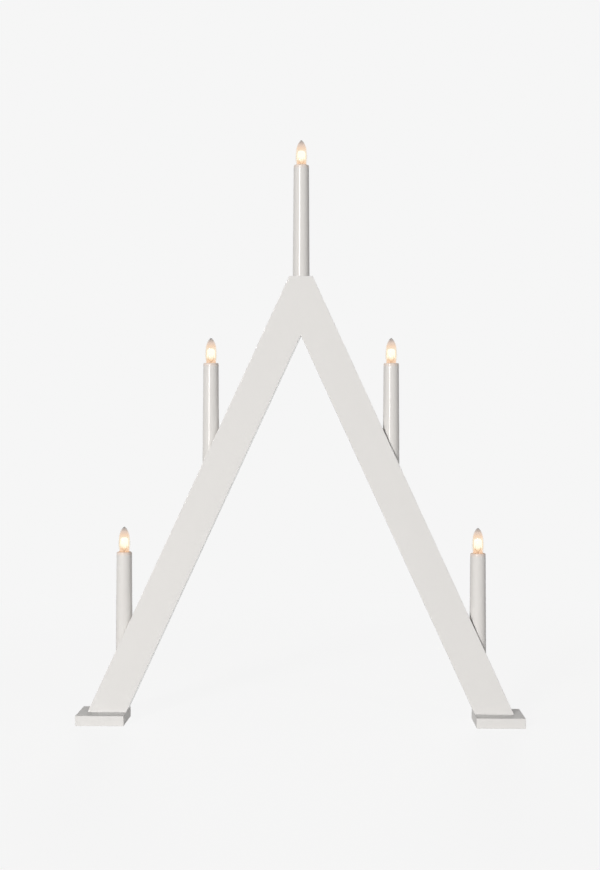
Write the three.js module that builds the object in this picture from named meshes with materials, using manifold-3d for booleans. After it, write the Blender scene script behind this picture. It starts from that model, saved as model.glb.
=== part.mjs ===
// Advent candlestick: two mitred boards lean together as an inverted V on foot plates and
// carry five electric candles, wired in series through a groove in their backs.
// Millimetres, +Z up, +Y to the back. The origin is on the floor, midway between the feet.

import * as THREE from 'three';
import { mergeVertices } from 'three/addons/utils/BufferGeometryUtils.js';
import Module from 'manifold-3d';

const wasm = await Module();
wasm.setup();

// Legs: two boards that meet at an upright mitre, with a flat cut across the top
const boardWidth = 42;
const boardThickness = 28;
const boardEase = 0.8;
const legLeanDegrees = 24.75;
const crownHeight = 532;
const crownWidth = 27.7;

// Feet: one plate under each leg, the board standing behind the middle of it
const footWidth = 57.5;
const footDepth = 58;
const footThickness = 12;
const footEase = 0.6;
const footOutset = 10.9;
const footFrontLedge = 23;

// Candle tubes: where they stand, and how deep they are let into the boards' upper edges.
// The outer ones are placed from the legs' outer corners at the feet.
const innerCandleX = 108;
const outerCandleInset = 41.6;
const topSeatDepth = 11;
const innerSeatDepth = 43.8;
const outerSeatDepth = 45.2;
const tubeLength = 145;
const tubeTopDiameter = 18.4;
const tubeFootDiameter = 20.4;
const tubeWall = 1.2;
const rimRound = 0.6;
const rimDrop = 1.8;
const ledgeBore = 12.4;
const ledgeThickness = 1.5;

// Lamp holder inside each tube, with its screw shell and springy contact leaf
const holderPlay = 0.4;
const holderTopDepth = 5;
const holderFloor = 8.3;
const holderEdge = 0.6;
const shellWall = 0.4;
const leafRoom = 2.9;
const leafThickness = 0.5;
const leafWidth = 3.6;
const leafLength = 5.4;
const leafReturn = 1.1;

// Bulb: glass above the rim, screw cap below it
const bulbDiameter = 14.4;
const bulbReach = 30.2;
const bellyHeight = 9;
const neckSwell = 1.5;
const neckRise = 2.2;
const bellyBelow = 6.3;
const bellyAbove = 13.5;
const pointWidth = 2.6;
const pointDrop = 1.6;
const glassWall = 0.6;
const capDiameter = 9;
const capWall = 0.4;
const capTopDepth = 4;
const capLength = 10;
const capShoulder = 1.2;
const threadPitch = 1.814;
const engagedTurns = 4.5;
const tipDiameter = 4.6;
const tipReach = 1.3;
const buttonEdge = 0.6;
const solderDiameter = 2.4;
const solderHeight = 0.6;
const solderEdge = 0.35;
const stemDiameter = 2.4;
const stemTopHeight = 2.5;
const leadSpread = 6;
const leadDiameter = 0.6;
const filamentHeight = 10;
const filamentRise = 2.4;

// Wiring in the backs of the legs
const wireDiameter = 2.2;
const leadSpacing = 5.2;
const wireHolePlay = 1.8;
const grooveSidePlay = 1.4;
const grooveFloorPlay = 3.4;
const grooveCover = 3.5;
const linkLaneBack = 4.5;
const returnLaneBack = 9.5;
const laneSpacing = 3;
const wireEndDepth = 4;
const wireBend = 2.2;
const wireSwing = 2.2;
const wireTurnBack = 4.4;
const wireFall = 5.2;
const returnExit = 6.6;
const returnDive = 2.6;

// Staples across the groove, and the cord gland at its foot
const stapleGrip = 1.8;
const stapleWire = 0.9;
const stapleStrip = 1.3;
const stapleDepth = 8;
const glandPlay = 0.6;
const glandWall = 1.2;
const glandBarrelLength = 5.5;
const glandFlangeLip = 1.3;
const glandFlangeThickness = 1.8;
const glandLift = 0.7;

// Fasteners: tongue in the mitre and screws in the feet
const tongueWidth = 36;
const tongueThickness = 3.4;
const tongueFrontCover = 2.5;
const tongueTopCover = 12;
const tongueLift = 9;
const tongueCorner = 6;
const screwDiameter = 4;
const screwHeadDiameter = 8;
const screwLength = 30;
const screwTipLength = 5;
const screwRecess = 0.8;
const innerScrewInset = 12;
const outerScrewInset = 15;
const frontScrewInset = 8;
const backScrewInset = 9;

// Clearances
const boreClearance = 0.35;
const seatGap = 0.3;
const cutOverrun = 1;

// Facets round a full turn
const tubeSides = 20;
const holderSides = 16;
const bulbSides = 14;
const smallSides = 10;
const wireSides = 6;
const hairSides = 4;

// Sizes that follow from those above
const lean = THREE.MathUtils.degToRad(legLeanDegrees);
const run = Math.tan(lean);
const outerApexHeight = crownHeight + crownWidth / 2 / run;
const centreApexHeight = outerApexHeight - boardWidth / 2 / Math.sin(lean);
const innerApexHeight = outerApexHeight - boardWidth / Math.sin(lean);
const legFrontY = -footDepth / 2 + footFrontLedge;
const legBackY = legFrontY + boardThickness;
const legMidY = (legFrontY + legBackY) / 2;
const legOuterBaseX = (outerApexHeight - footThickness) * run;
const legInnerBaseX = (innerApexHeight - footThickness) * run;
const footOuterX = legOuterBaseX + footOutset;
const footCentreX = footOuterX - footWidth / 2;
const wireHoleDiameter = leadSpacing + wireDiameter + 2 * wireHolePlay;
const grooveWidth = laneSpacing + wireDiameter + 2 * grooveSidePlay;
const linkLaneY = legMidY + linkLaneBack;
const returnLaneY = legMidY + returnLaneBack;
const grooveFloorY = linkLaneY - wireDiameter / 2 - grooveFloorPlay;

// The groove lies under the deepest of the candles' bores. Offsets are inward from the
// middle of the board.
const tubeFootDepth = outerSeatDepth + tubeFootDiameter / 2 / run;
const grooveOffset = tubeFootDepth * Math.sin(lean) + grooveCover - boardWidth / 2;
const linkLaneOffset = grooveOffset - laneSpacing / 2;
const returnLaneOffset = grooveOffset + laneSpacing / 2;
const glandBore = laneSpacing + wireDiameter + 2 * glandPlay;
const glandBarrelDiameter = glandBore + 2 * glandWall;
const glandFlangeDiameter = glandBarrelDiameter + 2 * glandFlangeLip;
const tubeTopRadius = tubeTopDiameter / 2;
const tubeFootRadius = tubeFootDiameter / 2;

// Heights in a candle are from the rim of its tube
const capBottom = -capTopDepth - capLength;
const capThreadEnd = capBottom + capShoulder;
const capEndBore = tipDiameter + 2 * seatGap;
const bulbNeckDiameter = capDiameter - 2 * (capWall + boreClearance);
const neckBottom = capThreadEnd + capWall + seatGap;
const tipBottom = capBottom - tipReach;
const socketFloor = tipBottom - leafRoom;
const shellRadius = capDiameter / 2 + boreClearance;
const shellTop = capThreadEnd + engagedTurns * threadPitch;
const shellBottom = socketFloor + seatGap;
const shellLipRadius = Math.hypot(leafLength, leafWidth) / 2 + boreClearance;
const holderBottom = socketFloor - holderFloor;
const holderRadius = tubeTopRadius - tubeWall - holderPlay;
const socketRadius = shellRadius + shellWall + boreClearance;
const ledgeTop = holderBottom - seatGap;

// The five candles, from the left, each let into the board under it
const outerCandleX = legOuterBaseX - outerCandleInset;
const boardTop = (x) => Math.min(crownHeight, outerApexHeight - Math.abs(x) / run);
const candles = [
  ['left_outer', -outerCandleX, outerSeatDepth],
  ['left_inner', -innerCandleX, innerSeatDepth],
  ['top', 0, topSeatDepth],
  ['right_inner', innerCandleX, innerSeatDepth],
  ['right_outer', outerCandleX, outerSeatDepth],
].map(([name, x, seatDepth]) => ({ name, x, rim: boardTop(x) - seatDepth + tubeLength }));

const sides = [['left', -1], ['right', 1]];

// Finishes
const finish = (color, roughness, metalness = 0) =>
  new THREE.MeshStandardMaterial({ color, roughness, metalness });
const whitePaint = finish(0xe6e4e0, 0.45);
const bareWood = finish(0xc9a877, 0.8);
const candlePlastic = finish(0xf0eeea, 0.25);
const holderPlastic = finish(0xdedbd2, 0.5);
const brass = finish(0xc9a24a, 0.3, 1);
const bronze = finish(0xb98a4e, 0.35, 1);
const clearGlass = finish(0xfff3dc, 0.05);
const solder = finish(0x9c9ea0, 0.4, 1);
const glowingWire = finish(0xffd9a0, 0.5, 0.6);
const wireSleeve = finish(0xf2f1ee, 0.5);
const screwSteel = finish(0xb8b9bb, 0.35, 1);

const stand = new THREE.Group();

function addPiece(name, geometry, material, parent = stand) {
  const mesh = new THREE.Mesh(geometry, material);
  mesh.name = name;
  parent.add(mesh);
  return mesh;
}

// Joining and cutting

function toSolid(geometry) {
  const bare = geometry.clone();
  bare.deleteAttribute('normal');
  bare.deleteAttribute('uv');
  const merged = mergeVertices(bare, 1e-4);
  const corners = merged.index.array;
  const kept = [];
  for (let i = 0; i < corners.length; i += 3) {
    const [a, b, c] = [corners[i], corners[i + 1], corners[i + 2]];
    if (a !== b && b !== c && c !== a) kept.push(a, b, c);
  }
  return new wasm.Manifold(new wasm.Mesh({
    numProp: 3,
    vertProperties: new Float32Array(merged.attributes.position.array),
    triVerts: new Uint32Array(kept),
  }));
}

function toGeometry(solid) {
  const mesh = solid.getMesh();
  const geometry = new THREE.BufferGeometry();
  geometry.setAttribute('position', new THREE.BufferAttribute(mesh.vertProperties, mesh.numProp));
  geometry.setIndex(new THREE.BufferAttribute(mesh.triVerts, 1));
  geometry.computeVertexNormals();
  return geometry;
}

function cut(geometry, cutters) {
  const tools = cutters.map(toSolid);
  const body = tools.reduce((solid, tool) => solid.subtract(tool), toSolid(geometry));
  return toGeometry(body);
}

function join(geometries) {
  const [first, ...others] = geometries.map(toSolid);
  return toGeometry(others.reduce((solid, other) => solid.add(other), first));
}

// Basic forms

// A revolved form about +Z from [radius, height] points, listed anticlockwise
function revolve(points, sides, closed = false) {
  const outline = points.map(([r, z]) => new THREE.Vector2(r, z));
  if (closed) outline.push(outline[0].clone());
  return new THREE.LatheGeometry(outline, sides).rotateX(Math.PI / 2);
}

function drill(x, y, bottom, top, diameter, sides) {
  const length = top - bottom;
  const hole = new THREE.CylinderGeometry(diameter / 2, diameter / 2, length, sides);
  return hole.rotateX(Math.PI / 2).translate(x, y, bottom + length / 2);
}

function block(low, high) {
  const size = high.map((value, i) => value - low[i]);
  const centre = high.map((value, i) => (value + low[i]) / 2);
  return new THREE.BoxGeometry(...size).translate(...centre);
}

// A plate whose outline is drawn in x and z, extruded from its front face towards the back
function plate(outline, frontY, thickness, ease = 0) {
  const shape = new THREE.Shape(outline.map(([x, z]) => new THREE.Vector2(x, z)));
  const geometry = new THREE.ExtrudeGeometry(shape, {
    depth: thickness - 2 * ease,
    bevelEnabled: ease > 0,
    bevelThickness: ease,
    bevelSize: ease,
    bevelOffset: -ease,
    bevelSegments: 1,
    steps: 1,
  });
  return geometry.rotateX(Math.PI / 2).translate(0, frontY + thickness - ease, 0);
}

// A bent strip of even thickness along points in a plane, as an outline
function ribbon(points, thickness) {
  const sideways = points.map(([x, y], i) => {
    const [ax, ay] = points[Math.max(i - 1, 0)];
    const [bx, by] = points[Math.min(i + 1, points.length - 1)];
    const length = Math.hypot(bx - ax, by - ay);
    return [-(by - ay) / length * thickness / 2, (bx - ax) / length * thickness / 2];
  });
  const right = points.map(([x, y], i) => new THREE.Vector2(x - sideways[i][0], y - sideways[i][1]));
  const left = points.map(([x, y], i) => new THREE.Vector2(x + sideways[i][0], y + sideways[i][1]));
  return new THREE.Shape([...right, ...left.reverse()]);
}

// A path through given points that puts one ring at each of them
class Run extends THREE.Curve {
  constructor(points) {
    super();
    this.points = points;
  }

  getPoint(t) {
    const place = THREE.MathUtils.clamp(t, 0, 1) * (this.points.length - 1);
    const i = Math.min(Math.floor(place), this.points.length - 2);
    return this.points[i].clone().lerp(this.points[i + 1], place - i);
  }

  getPointAt(u) {
    return this.getPoint(u);
  }

  getTangentAt(u) {
    return this.getTangent(u);
  }
}

// Rounds each corner of a run with a short curve, which takes less than half of each stretch
function rounded(corners, bend, steps = 3) {
  const share = 0.48;
  const points = [corners[0]];
  for (let i = 1; i < corners.length - 1; i += 1) {
    const corner = corners[i];
    const before = corners[i - 1].clone().sub(corner);
    const after = corners[i + 1].clone().sub(corner);
    const reach = Math.min(bend, before.length() * share, after.length() * share);
    const start = corner.clone().addScaledVector(before.normalize(), reach);
    const end = corner.clone().addScaledVector(after.normalize(), reach);
    points.push(...new THREE.QuadraticBezierCurve3(start, corner, end).getPoints(steps));
  }
  points.push(corners[corners.length - 1]);
  return points;
}

function rod(points, diameter, sides) {
  const section = new THREE.Shape();
  for (let i = 0; i < sides; i += 1) {
    const angle = (i / sides) * 2 * Math.PI;
    const [x, y] = [Math.cos(angle) * diameter / 2, Math.sin(angle) * diameter / 2];
    if (i === 0) section.moveTo(x, y);
    else section.lineTo(x, y);
  }
  const path = new Run(points);
  return new THREE.ExtrudeGeometry(section, { steps: points.length - 1, extrudePath: path });
}

// Places on a leg: side is -1 on the left and 1 on the right

const leanHeight = (x, offset) => centreApexHeight - offset / Math.sin(lean) - Math.abs(x) / run;
const leanX = (side, height, offset) =>
  side * (centreApexHeight - offset / Math.sin(lean) - height) * run;

// Legs

const glandHeight = footThickness + glandLift + glandFlangeDiameter / 2;
const glandX = leanX(1, glandHeight, grooveOffset);

// The groove ends below the last candle on the left, and round the gland on the right
function groove(side) {
  const half = grooveWidth / 2;
  const end = side > 0
    ? glandHeight - glandBarrelDiameter / 2
    : leanHeight(outerCandleX, grooveOffset) - grooveWidth;
  const past = cutOverrun / run;
  const outline = [
    [-side * cutOverrun, leanHeight(0, grooveOffset + half) + past],
    [leanX(side, end, grooveOffset + half), end],
    [leanX(side, end, grooveOffset - half), end],
    [-side * cutOverrun, leanHeight(0, grooveOffset - half) + past],
  ];
  if (side < 0) outline.reverse();
  return plate(outline, grooveFloorY, legBackY + cutOverrun - grooveFloorY);
}

// A flat-bottomed bore for the tube, and below it a narrower hole down to the groove
function candleBore({ x, rim }) {
  const seat = rim - tubeLength - seatGap;
  const diameter = tubeFootDiameter + 2 * boreClearance;
  const floor = leanHeight(x, grooveOffset) - wireDiameter;
  return [
    drill(x, legMidY, seat, rim, diameter, tubeSides),
    drill(x, legMidY, floor, seat + cutOverrun, wireHoleDiameter, holderSides),
  ];
}

// The tongue fills the mitre between its inner corner and the top candle's bore.
// Its slot is the same plate grown by a clearance all round.
function tongue(growth = 0) {
  const half = tongueWidth / 2 + growth;
  const low = innerApexHeight + tongueLift - growth;
  const high = crownHeight - topSeatDepth - tongueTopCover + growth;
  const corner = tongueCorner;
  const outline = [
    [-half + corner, low], [half - corner, low], [half, low + corner], [half, high - corner],
    [half - corner, high], [-half + corner, high], [-half, high - corner], [-half, low + corner],
  ];
  const front = legFrontY + tongueFrontCover - growth;
  return plate(outline, front, tongueThickness + 2 * growth);
}

const screwPlaces = [
  { word: 'front', inset: innerScrewInset, y: legFrontY + frontScrewInset },
  { word: 'back', inset: boardWidth / Math.cos(lean) - outerScrewInset, y: legBackY - backScrewInset },
];
const screwX = (side, place) => side * (legInnerBaseX + place.inset);

// One staple midway between each two candles
const staples = [
  { word: 'high', x: innerCandleX / 2 },
  { word: 'low', x: (innerCandleX + outerCandleX) / 2 },
];
const stapleWidth = grooveWidth + 2 * stapleGrip;

function staplePlace(side, x) {
  return new THREE.Vector3(side * x, legBackY, leanHeight(x, grooveOffset));
}

function stapleSlots(side) {
  const depth = stapleDepth + seatGap;
  return staples.flatMap(({ x }) => [-1, 1].map((end) => {
    const place = staplePlace(side, x);
    const slot = new THREE.BoxGeometry(
      stapleWire + 2 * seatGap, depth + cutOverrun, stapleStrip + 2 * seatGap);
    slot.translate(end * (stapleWidth - stapleWire) / 2, (cutOverrun - depth) / 2, 0);
    return slot.rotateY(-side * lean).translate(place.x, place.y, place.z);
  }));
}

function glandPocket() {
  const radius = glandBarrelDiameter / 2 + boreClearance;
  const depth = glandBarrelLength + boreClearance + cutOverrun;
  const pocket = new THREE.CylinderGeometry(radius, radius, depth, holderSides);
  return pocket.translate(glandX, legBackY + cutOverrun - depth / 2, glandHeight);
}

// Both boards as one easy-edged outline, so that no edge is eased along the mitre
function boardPair() {
  const low = footThickness - boardWidth;
  const outline = [
    [-leanX(1, low, -boardWidth / 2), low], [-leanX(1, low, boardWidth / 2), low],
    [0, innerApexHeight],
    [leanX(1, low, boardWidth / 2), low], [leanX(1, low, -boardWidth / 2), low],
    [crownWidth / 2, crownHeight], [-crownWidth / 2, crownHeight],
  ];
  return plate(outline, legFrontY, boardThickness, boardEase);
}

function leg(side) {
  const reach = legOuterBaseX + boardWidth;
  const low = [side > 0 ? 0 : -reach, legFrontY - cutOverrun, footThickness];
  const high = [side > 0 ? reach : 0, legBackY + cutOverrun, crownHeight + cutOverrun];
  const board = toGeometry(toSolid(boardPair()).intersect(toSolid(block(low, high))));
  const here = candles.filter(({ x }) => x * side >= 0);
  const pilot = screwDiameter + 2 * boreClearance;
  const pilotTop = screwRecess + screwLength + seatGap;
  const cutters = [
    ...here.flatMap(candleBore),
    groove(side),
    tongue(seatGap),
    ...screwPlaces.map((place) => drill(screwX(side, place), place.y,
      footThickness - cutOverrun, pilotTop, pilot, smallSides)),
    ...stapleSlots(side),
  ];
  if (side > 0) cutters.push(glandPocket());
  return cut(board, cutters);
}

for (const [word, side] of sides) addPiece(`leg_${word}`, leg(side), whitePaint);
addPiece('mitre_tongue', tongue(), bareWood);

// Feet and their screws

const screwHeadHeight = (screwHeadDiameter - screwDiameter) / 2;

function foot(side) {
  const x = side * footCentreX;
  const half = footWidth / 2;
  const outline = [[x - half, 0], [x + half, 0], [x + half, footThickness], [x - half, footThickness]];
  const body = plate(outline, -footDepth / 2, footDepth, footEase);
  const shank = screwDiameter / 2 + boreClearance;
  const head = screwHeadDiameter / 2 + boreClearance;
  const hole = [
    [0, -cutOverrun], [head, -cutOverrun], [head, screwRecess],
    [shank, screwRecess + screwHeadHeight], [shank, footThickness + cutOverrun],
    [0, footThickness + cutOverrun],
  ];
  const holes = screwPlaces.map((place) =>
    revolve(hole, smallSides).translate(screwX(side, place), place.y, 0));
  return cut(body, holes);
}

function footScrew() {
  const shank = screwDiameter / 2;
  return revolve([
    [0, 0], [screwHeadDiameter / 2, 0], [shank, screwHeadHeight],
    [shank, screwLength - screwTipLength], [0, screwLength],
  ], smallSides);
}

for (const [word, side] of sides) {
  addPiece(`foot_${word}`, foot(side), whitePaint);
  for (const place of screwPlaces) {
    const screw = addPiece(`foot_screw_${word}_${place.word}`, footScrew(), screwSteel);
    screw.position.set(screwX(side, place), place.y, screwRecess);
  }
}

// Candle tube, from its rim down, with an inner ledge that the lamp holder stands on

const tubeRadius = (depth) =>
  tubeTopRadius + (tubeFootRadius - tubeTopRadius) * depth / tubeLength;

function candleTube() {
  const ledgeFoot = ledgeTop - ledgeThickness;
  return revolve([
    [tubeFootRadius, -tubeLength],
    [tubeRadius(rimDrop), -rimDrop],
    [tubeTopRadius - rimRound, 0],
    [tubeTopRadius - tubeWall + rimRound / 2, 0],
    [tubeTopRadius - tubeWall, -rimRound],
    [tubeRadius(-ledgeTop) - tubeWall, ledgeTop],
    [ledgeBore / 2, ledgeTop],
    [ledgeBore / 2, ledgeFoot],
    [tubeRadius(-ledgeFoot) - tubeWall, ledgeFoot],
    [tubeFootRadius - tubeWall, -tubeLength],
  ], tubeSides, true);
}

// Lamp holder: a plug with a socket for the shell and two wire holes from below

function lampHolder() {
  const body = revolve([
    [0, holderBottom],
    [holderRadius - holderEdge, holderBottom],
    [holderRadius, holderBottom + holderEdge],
    [holderRadius, -holderTopDepth - holderEdge],
    [holderRadius - holderEdge, -holderTopDepth],
    [socketRadius, -holderTopDepth],
    [socketRadius, socketFloor],
    [0, socketFloor],
  ], holderSides);
  const hole = wireDiameter + 2 * boreClearance;
  const holes = [-1, 1].map((end) => drill(end * leadSpacing / 2, 0,
    holderBottom - cutOverrun, holderBottom + wireEndDepth + seatGap, hole, wireSides));
  return cut(body, holes);
}

function screwShell() {
  return revolve([
    [shellLipRadius, shellBottom],
    [shellRadius + shellWall, shellBottom],
    [shellRadius + shellWall, shellTop],
    [shellRadius, shellTop],
    [shellRadius, shellBottom + shellWall],
    [shellLipRadius, shellBottom + shellWall],
  ], bulbSides, true);
}

// Centre contact: a leaf that is folded back in a half turn under the bulb's tip
function contactLeaf() {
  const low = socketFloor + seatGap + leafThickness / 2;
  const high = tipBottom - seatGap - leafThickness / 2;
  const fold = (high - low) / 2;
  const centre = (leafLength - leafThickness) / 2 - fold;
  const turns = [-0.5, -0.25, 0, 0.25, 0.5].map((share) => share * Math.PI);
  const outline = ribbon([
    [-leafLength / 2, low],
    ...turns.map((angle) => [centre + fold * Math.cos(angle), low + fold * (1 + Math.sin(angle))]),
    [-leafReturn, high],
  ], leafThickness);
  const leaf = new THREE.ExtrudeGeometry(outline, { depth: leafWidth, bevelEnabled: false, steps: 1 });
  return leaf.rotateX(Math.PI / 2).translate(0, leafWidth / 2, 0);
}

// Bulb

// The glass outline from the neck to the point, as two curves that meet at the belly
function glassOutline() {
  const [neck, belly] = [bulbNeckDiameter / 2, bulbDiameter / 2];
  const shoulder = -capTopDepth - seatGap;
  const path = new THREE.Path();
  path.moveTo(neck, shoulder);
  path.bezierCurveTo(neck + neckSwell, shoulder + neckRise, belly, bellyHeight - bellyBelow,
    belly, bellyHeight);
  path.bezierCurveTo(belly, bellyHeight + bellyAbove, pointWidth, bulbReach - pointDrop,
    0, bulbReach);
  return [new THREE.Vector2(neck, neckBottom), ...path.getPoints(4)];
}

function inset(points, wall) {
  return points.slice(0, -1).map((point, i) => {
    const ahead = points[i + 1];
    const behind = points[Math.max(i - 1, 0)];
    const along = ahead.clone().sub(behind).normalize();
    return [point.x - along.y * wall, point.y + along.x * wall];
  });
}

function bulbGlass() {
  const outer = glassOutline();
  const inner = inset(outer, glassWall);
  return revolve([
    ...outer.map(({ x, y }) => [x, y]),
    [0, bulbReach - glassWall],
    ...inner.reverse(),
    [bulbNeckDiameter / 2, neckBottom],
  ], bulbSides);
}

function bulbCap() {
  const [outer, inner, end] = [capDiameter / 2, capDiameter / 2 - capWall, capEndBore / 2];
  return revolve([
    [end, capBottom],
    [outer - capShoulder, capBottom],
    [outer, capThreadEnd],
    [outer, -capTopDepth],
    [inner, -capTopDepth],
    [inner, capThreadEnd + capWall / 2],
    [inner - capShoulder + capWall / 2, capBottom + capWall],
    [end, capBottom + capWall],
  ], bulbSides, true);
}

// End contact: an insulating button with a drop of solder on it
function bulbTip() {
  const [button, drop] = [tipDiameter / 2, solderDiameter / 2];
  return revolve([
    [0, tipBottom],
    [drop - solderEdge, tipBottom],
    [drop, tipBottom + solderHeight],
    [button - buttonEdge, tipBottom + solderHeight],
    [button, capBottom],
    [button, capBottom + 2 * capWall],
    [0, capBottom + 2 * capWall],
  ], smallSides);
}

// Filament on its glass stem and two lead wires, which start inside the stem
function filamentMount() {
  const flare = bulbNeckDiameter / 2 - glassWall - seatGap;
  const stem = stemDiameter / 2;
  const foot = neckBottom + seatGap;
  const body = revolve([
    [0, foot], [flare, foot], [stem, foot + flare], [stem, stemTopHeight - stem], [0, stemTopHeight],
  ], smallSides);
  const half = leadSpread / 2;
  const leads = [-1, 1].map((end) => rod([
    new THREE.Vector3(end * stem / 2, 0, stemTopHeight - 2 * stem),
    new THREE.Vector3(end * stem / 2, 0, stemTopHeight),
    new THREE.Vector3(end * half, 0, filamentHeight),
  ], leadDiameter, hairSides));
  const arch = new THREE.QuadraticBezierCurve3(
    new THREE.Vector3(-half - leadDiameter / 4, 0, filamentHeight - leadDiameter / 2),
    new THREE.Vector3(0, 0, filamentHeight + 2 * filamentRise),
    new THREE.Vector3(half + leadDiameter / 4, 0, filamentHeight - leadDiameter / 2));
  return join([body, ...leads, rod(arch.getPoints(5), leadDiameter, hairSides)]);
}

const candlePieces = [
  ['candle_tube', candleTube(), candlePlastic],
  ['lamp_holder', lampHolder(), holderPlastic],
  ['screw_shell', screwShell(), brass],
  ['contact_leaf', contactLeaf(), bronze],
  ['bulb_glass', bulbGlass(), clearGlass],
  ['bulb_cap', bulbCap(), brass],
  ['bulb_tip', bulbTip(), solder],
  ['filament', filamentMount(), glowingWire],
];

for (const candle of candles) {
  const group = new THREE.Group();
  group.position.set(candle.x, legMidY, candle.rim);
  stand.add(group);
  for (const [word, geometry, material] of candlePieces) {
    addPiece(`${word}_${candle.name}`, geometry, material, group);
  }
}

// Series wiring: a feed, four links between neighbouring holders, and a return

const point = (x, y, z) => new THREE.Vector3(x, y, z);

// A lead inside a candle, from the holder's wire hole down to the mouth of the wire hole.
// end is -1 for the lead on the left and 1 for the one on the right.
function leadPoints(candle, end, mouth) {
  const x = candle.x + end * leadSpacing / 2;
  return [
    point(x, legMidY, candle.rim + holderBottom + wireEndDepth),
    point(x, legMidY, mouth),
  ];
}

// Where a lead joins the link lane: it swings out down the leg, or turns back up the leg
function dropPoints(candle, end, side) {
  const x = candle.x + end * leadSpacing / 2;
  if (end === side || candle.x === 0) {
    const far = x + end * wireSwing;
    return [
      ...leadPoints(candle, end, leanHeight(x, linkLaneOffset) + wireFall),
      point(far, linkLaneY, leanHeight(far, linkLaneOffset)),
    ];
  }
  const turn = leanHeight(candle.x, grooveOffset) + wireDiameter;
  const near = x + end * wireTurnBack;
  return [
    ...leadPoints(candle, end, turn),
    point(x, linkLaneY, turn),
    point(near, linkLaneY, leanHeight(near, linkLaneOffset)),
  ];
}

function link(from, to) {
  const side = Math.sign(from.x + to.x);
  return [...dropPoints(from, 1, side), ...dropPoints(to, -1, side).reverse()];
}

function wire(corners) {
  return rod(rounded(corners, wireBend), wireDiameter, wireSides);
}

// Two wires enter the gland's bore side by side, square to the back of the leg
const glandFrontY = legBackY - glandBarrelLength;
const glandMouthY = glandFrontY + glandBarrelLength / 2;

function glandPoints(sign, depthY) {
  const aside = sign * laneSpacing / 2;
  const x = glandX + aside * Math.cos(lean);
  const z = glandHeight + aside * Math.sin(lean);
  return [point(x, glandMouthY, z), point(x, depthY, z)];
}

const [leftOuter, , , , rightOuter] = candles;

function feedWire() {
  const x = rightOuter.x + leadSpacing / 2;
  const turn = leanHeight(rightOuter.x, grooveOffset);
  return wire([
    ...glandPoints(1, linkLaneY),
    point(x, linkLaneY, turn),
    ...leadPoints(rightOuter, 1, turn + 2 * wireDiameter).reverse(),
  ]);
}

function returnWire() {
  const x = leftOuter.x - leadSpacing / 2;
  const turn = leanHeight(leftOuter.x, grooveOffset);
  const near = leftOuter.x + leadSpacing;
  const far = glandX - returnExit;
  return wire([
    ...leadPoints(leftOuter, -1, turn),
    point(x, returnLaneY, turn),
    point(near, returnLaneY, leanHeight(near, returnLaneOffset)),
    point(0, returnLaneY, leanHeight(0, returnLaneOffset)),
    point(far, returnLaneY, leanHeight(far, returnLaneOffset)),
    ...glandPoints(-1, glandFrontY - returnDive).reverse(),
  ]);
}

addPiece('wire_feed', feedWire(), wireSleeve);
for (let i = 0; i < candles.length - 1; i += 1) {
  const [from, to] = [candles[i], candles[i + 1]];
  addPiece(`wire_${from.name}_to_${to.name}`, wire(link(from, to)), wireSleeve);
}
addPiece('wire_return', returnWire(), wireSleeve);

// Staples and gland

function staple() {
  const half = (stapleWidth - stapleWire) / 2;
  const top = seatGap + stapleWire;
  const outline = new THREE.Shape([
    [-half - stapleWire / 2, -stapleDepth], [-half + stapleWire / 2, -stapleDepth],
    [-half + stapleWire / 2, seatGap], [half - stapleWire / 2, seatGap],
    [half - stapleWire / 2, -stapleDepth], [half + stapleWire / 2, -stapleDepth],
    [half + stapleWire / 2, top], [-half - stapleWire / 2, top],
  ].map(([x, y]) => new THREE.Vector2(x, y)));
  const strip = new THREE.ExtrudeGeometry(outline, { depth: stapleStrip, bevelEnabled: false, steps: 1 });
  return strip.translate(0, 0, -stapleStrip / 2);
}

for (const [word, side] of sides) {
  for (const { word: level, x } of staples) {
    const piece = addPiece(`staple_${word}_${level}`, staple(), screwSteel);
    piece.position.copy(staplePlace(side, x));
    piece.rotation.y = -side * lean;
  }
}

function cordGland() {
  const [bore, barrel, flange] = [glandBore / 2, glandBarrelDiameter / 2, glandFlangeDiameter / 2];
  const [front, seat] = [-glandBarrelLength, seatGap];
  const back = seat + glandFlangeThickness;
  const sleeve = revolve([
    [bore, -back], [flange - glandFlangeThickness / 2, -back], [flange, -back + glandFlangeThickness / 2],
    [flange, -seat], [barrel, -seat], [barrel, -front], [bore, -front],
  ], holderSides, true);
  return sleeve.rotateX(Math.PI / 2).translate(glandX, legBackY, glandHeight);
}

addPiece('cord_gland', cordGland(), holderPlastic);

export default stand;
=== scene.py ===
"""Advent candlestick with five lit candle bulbs, dressed over its packed frame.

Two mitred boards lean together as an inverted V on foot plates. Five candle tubes stand in
their upper edges, each with a lamp holder and a small bulb that screws out, and the wiring
lies in a groove in the back. Pieces are drawn in millimetres and kept in metres, at the
places that the frame gives.
"""

import math
from contextlib import contextmanager

import bpy
from bpy.props import FloatProperty, FloatVectorProperty, IntProperty, PointerProperty
from mathutils import Matrix, Vector
from mathutils.geometry import interpolate_bezier


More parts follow.
